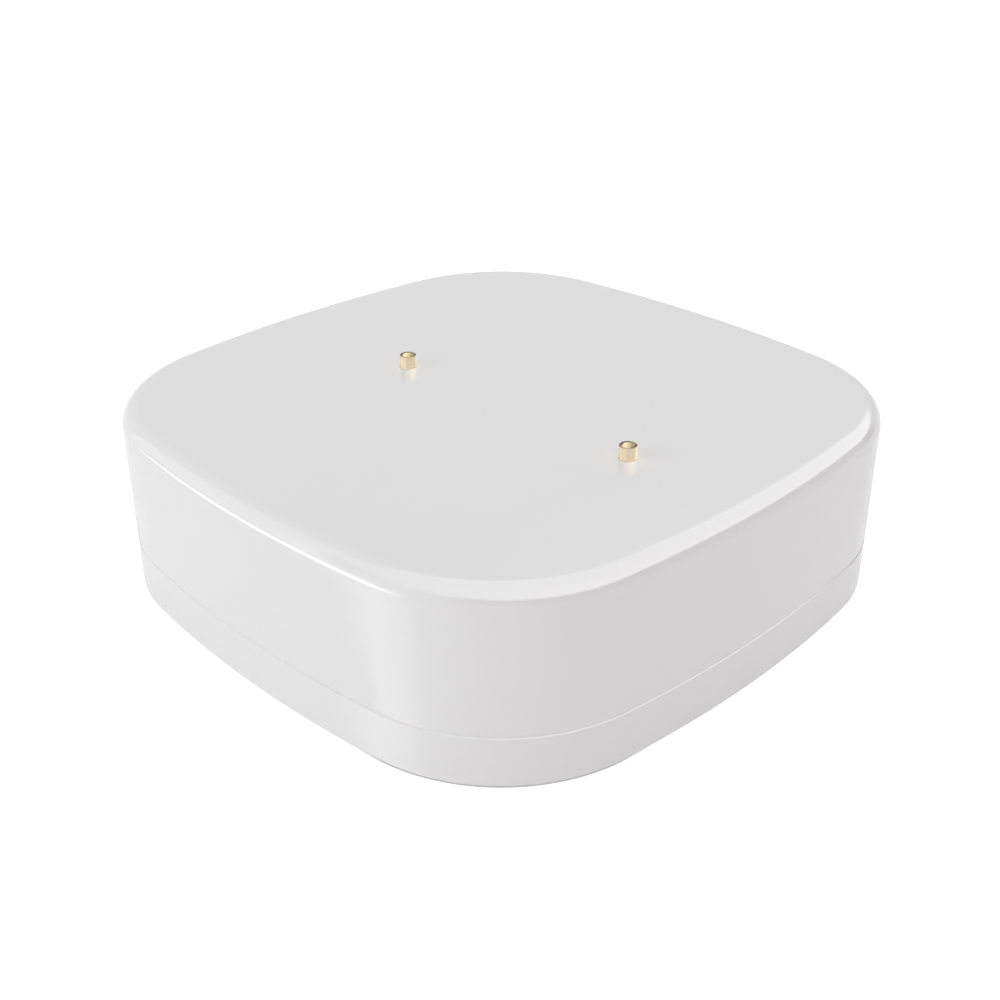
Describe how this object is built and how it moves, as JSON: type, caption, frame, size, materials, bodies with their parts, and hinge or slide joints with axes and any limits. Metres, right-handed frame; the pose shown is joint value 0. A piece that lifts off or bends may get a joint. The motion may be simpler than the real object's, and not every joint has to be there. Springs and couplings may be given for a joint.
{
  "type": "water leak sensor",
  "caption": "Square puck with bowed sides, a rounded rim and two metal probes on its flat face; a fine seam parts the deep housing from the shallow cover.",
  "frame": {"origin": "middle of the body's outline, on the outer face of the base cover, which the object lies on in the picture", "axes": "+Z is the way the probes point, square to the cover's face; +X runs along the row of probes, from the left probe to the right one; in use the object is turned over, with +Z down"},
  "size_m": [0.05, 0.05, 0.0157],
  "materials": {
    "white_shell": "satin gloss moulded white",
    "white_inner_plastic": "plain moulded white",
    "silicone": "soft matt grey",
    "gasket": "matt black",
    "clear_plastic": "clear polished",
    "gold_plate": "gold plated, polished",
    "board_laminate": "green solder mask",
    "plated_steel": "nickel plated",
    "tinned_steel": "tinned, dull",
    "black_plastic": "moulded black",
    "chip_plastic": "moulded black epoxy",
    "capacitor_plastic": "moulded yellow epoxy",
    "ceramic": "fired ceramic",
    "led_lens": "diffusing lens"
  },
  "bodies": {
    "cover": {"base_cover": "white_shell", "seal_ring": "silicone", "light_pipe": "clear_plastic", "button_retainer": "white_inner_plastic"},
    "button": {"function_button": "white_shell", "button_seal": "silicone"},
    "housing": {"probe_housing": "white_shell", "left_probe": "gold_plate", "right_probe": "gold_plate", "left_probe_seal": "silicone", "right_probe_seal": "silicone", "left_probe_contact": "gold_plate", "right_probe_contact": "gold_plate", "main_board": "board_laminate", "board_screws": "plated_steel", "battery_holder": "black_plastic", "battery_contact": "plated_steel", "battery_clip": "plated_steel", "cell_can": "plated_steel", "cell_gasket": "gasket", "cell_cap": "plated_steel", "switch_body": "black_plastic", "switch_plate": "tinned_steel", "switch_terminals": "tinned_steel", "status_led": "led_lens", "radio_board": "board_laminate", "radio_shield": "tinned_steel", "chip_antenna": "ceramic", "sensing_chip": "chip_plastic", "bulk_capacitor": "capacitor_plastic", "control_chip": "chip_plastic", "crystal": "tinned_steel", "ceramic_capacitors": "ceramic", "resistors": "chip_plastic", "protection_diodes": "chip_plastic"},
    "plunger": {"switch_plunger": "black_plastic"}
  },
  "joints": [
    {"name": "housing_lift", "type": "slide", "parent": "cover", "child": "housing", "axis": [0, 0, 1], "range_m": [0, 0.025]},
    {"name": "button_press", "type": "slide", "parent": "cover", "child": "button", "axis": [0, 0, 1], "range_m": [0, 0.0005], "stiffness_N_per_m": 1000},
    {"name": "switch_press", "type": "slide", "parent": "housing", "child": "plunger", "axis": [0, 0, 1], "range_m": [0, 0.0005]}
  ],
  "couplings": [
    {"joint": "switch_press", "follows": "button_press", "ratio": 1}
  ]
}
